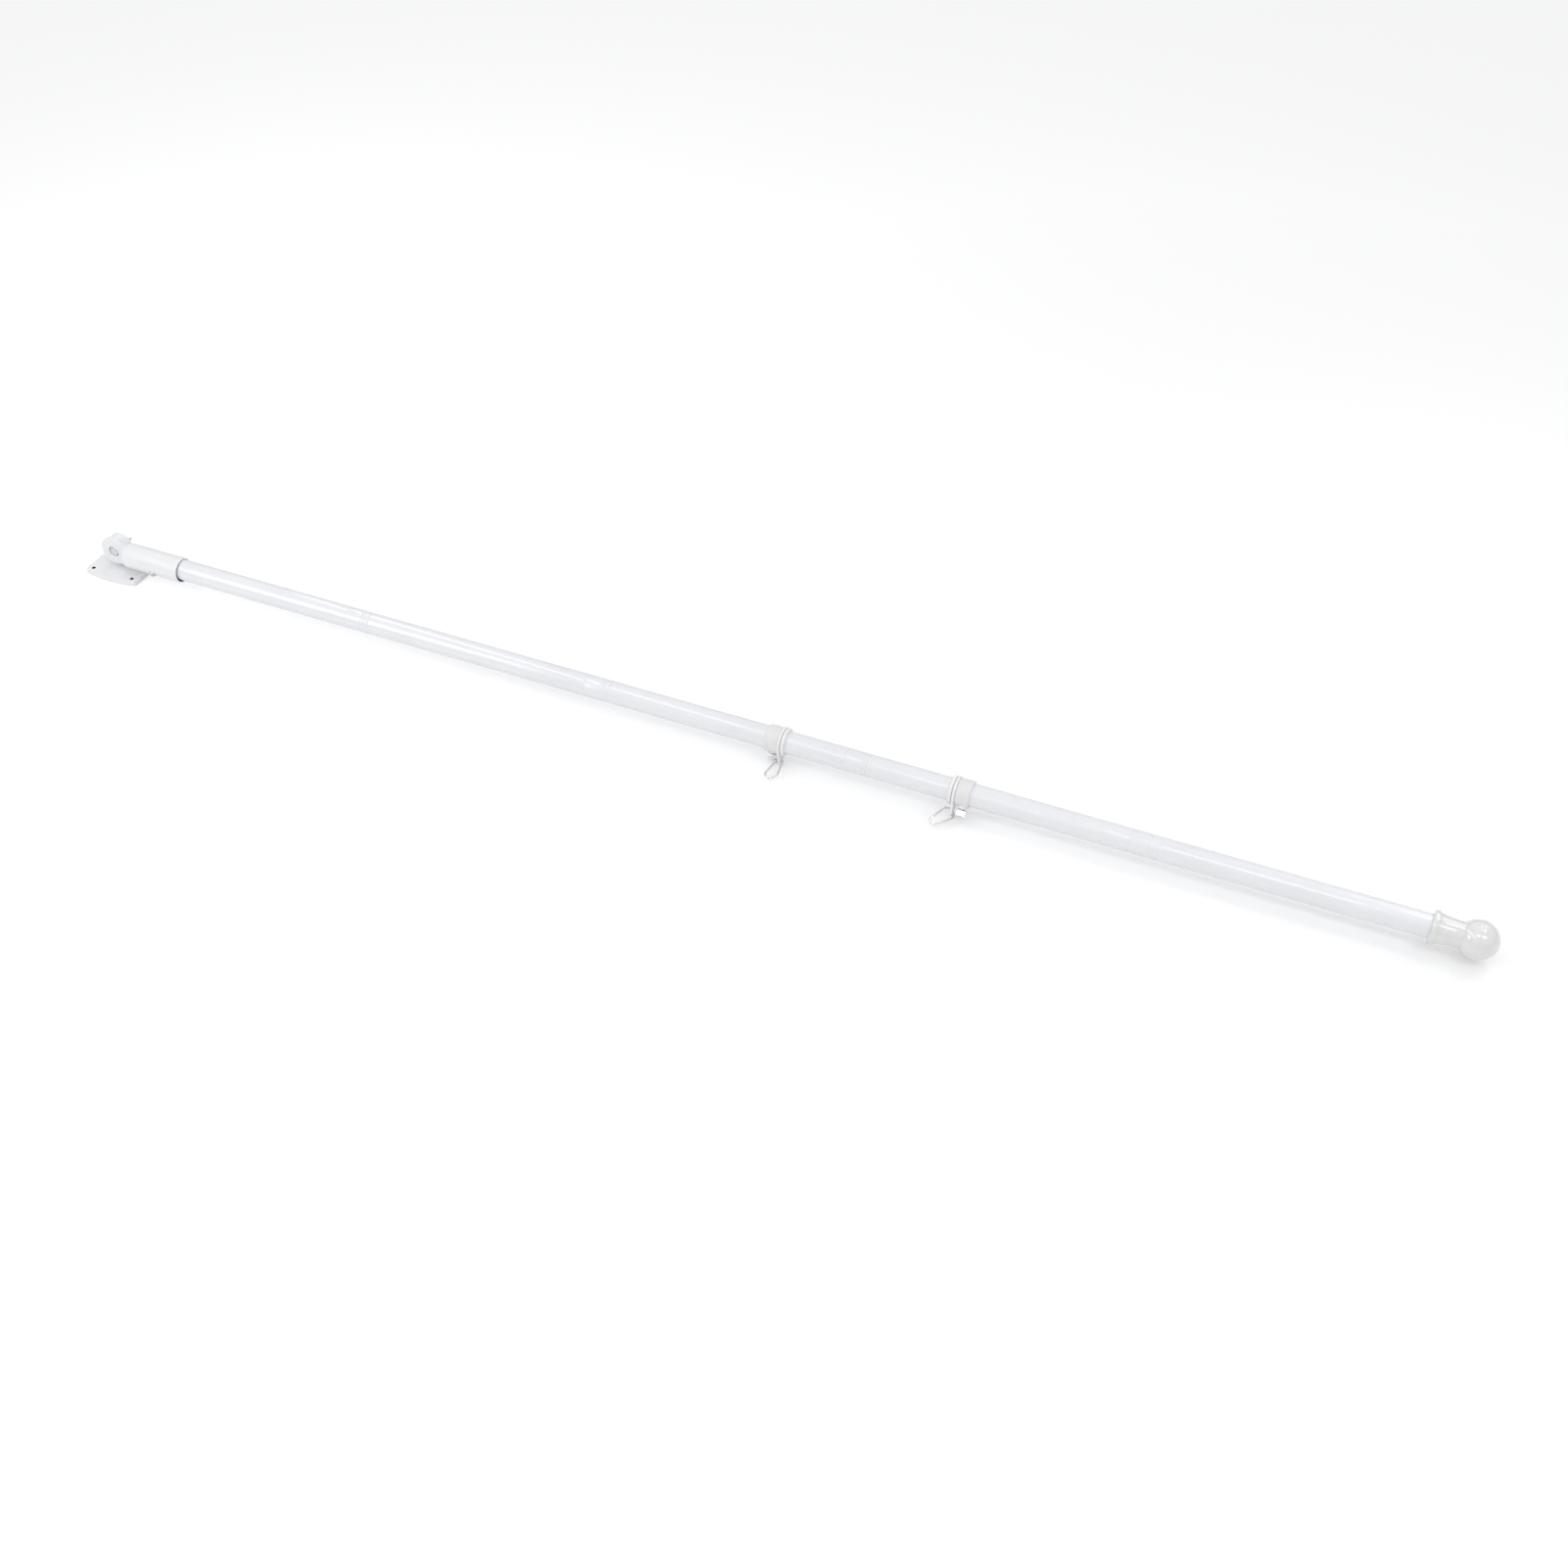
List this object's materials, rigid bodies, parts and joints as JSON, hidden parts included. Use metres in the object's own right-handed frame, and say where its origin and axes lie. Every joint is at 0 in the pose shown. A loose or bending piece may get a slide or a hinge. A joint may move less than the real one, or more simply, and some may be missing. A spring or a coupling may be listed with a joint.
{
  "type": "wall-mount sectional flagpole",
  "caption": "House flagpole: sectional white tube in a hinged wall bracket, with two sliding anti-wrap rings, snap hooks and a ball finial.",
  "frame": {"origin": "back face of the wall plate, straight behind the hinge bolt", "axes": "+X along the pole from the bracket to the ball, +Z out of the wall, Y along the hinge bolt"},
  "size_m": [1.6345, 0.0679, 0.047],
  "materials": {
    "white_enamel": "gloss white powder coat over cast alloy",
    "tube_enamel": "smooth gloss white coat over drawn tube",
    "bare_aluminium": "plain mill finish",
    "white_nylon": "moulded, slightly glossy",
    "bright_steel": "zinc plated",
    "knurled_chrome": "plated, knurled rim",
    "hook_wire": "polished wire",
    "ball_gloss": "high gloss white"
  },
  "bodies": {
    "bracket": {"base_plate": "white_enamel", "pivot_bolt": "bright_steel", "pivot_washer": "bright_steel", "wing_nut": "bright_steel"},
    "pole": {"pole_socket": "white_enamel", "socket_screw": "bright_steel", "tube_section_1": "tube_enamel", "tube_section_2": "tube_enamel", "tube_section_3": "tube_enamel", "tube_section_4": "tube_enamel", "tube_section_5": "tube_enamel", "joint_plug_1": "bare_aluminium", "joint_plug_2": "bare_aluminium", "joint_plug_3": "bare_aluminium", "joint_plug_4": "bare_aluminium", "finial_cap": "white_enamel", "finial_ball": "ball_gloss"},
    "lower_slider": {"lower_collar": "white_nylon", "lower_retainer": "white_nylon", "lower_thumbscrew": "knurled_chrome"},
    "lower_ring": {"lower_ring_plate": "white_nylon"},
    "lower_clip": {"lower_hook": "hook_wire"},
    "lower_latch": {"lower_gate": "hook_wire"},
    "upper_slider": {"upper_collar": "white_nylon", "upper_retainer": "white_nylon", "upper_thumbscrew": "knurled_chrome"},
    "upper_ring": {"upper_ring_plate": "white_nylon"},
    "upper_clip": {"upper_hook": "hook_wire"},
    "upper_latch": {"upper_gate": "hook_wire"}
  },
  "joints": [
    {"name": "bracket_hinge", "type": "hinge", "parent": "bracket", "child": "pole", "pos_m": [0, 0, 0.027], "axis": [0, -1, 0], "range_deg": [0, 180]},
    {"name": "lower_ring_slide", "type": "slide", "parent": "pole", "child": "lower_slider", "axis": [1, 0, 0], "range_m": [-0.72, 0.1]},
    {"name": "lower_ring_spin", "type": "hinge", "parent": "lower_slider", "child": "lower_ring", "pos_m": [0.8647, 0, 0.027], "axis": [1, 0, 0], "continuous": true},
    {"name": "lower_hook_swing", "type": "hinge", "parent": "lower_ring", "child": "lower_clip", "pos_m": [0.8647, -0.0068, 0.00608], "axis": [1, 0, 0], "range_deg": [-10, 120]},
    {"name": "lower_gate_hinge", "type": "hinge", "parent": "lower_clip", "child": "lower_latch", "pos_m": [0.8608, -0.01184, 0.00562], "axis": [-0.1392, 0.0173, 0.9901], "range_deg": [0, 25], "stiffness_Nm_per_rad": 0.05, "springref_deg": -11.46},
    {"name": "upper_ring_slide", "type": "slide", "parent": "pole", "child": "upper_slider", "axis": [1, 0, 0], "range_m": [-0.05, 0.44]},
    {"name": "upper_ring_spin", "type": "hinge", "parent": "upper_slider", "child": "upper_ring", "pos_m": [1.0592, 0, 0.027], "axis": [1, 0, 0], "continuous": true},
    {"name": "upper_hook_swing", "type": "hinge", "parent": "upper_ring", "child": "upper_clip", "pos_m": [1.0596, -0.01166, 0.00834], "axis": [0.8829, -0.4695, 0], "range_deg": [-10, 120]},
    {"name": "upper_gate_hinge", "type": "hinge", "parent": "upper_clip", "child": "upper_latch", "pos_m": [1.04411, -0.03313, 0.01225], "axis": [-0.3965, 0.1207, -0.9101], "range_deg": [0, 25], "stiffness_Nm_per_rad": 0.05, "springref_deg": -11.46}
  ]
}
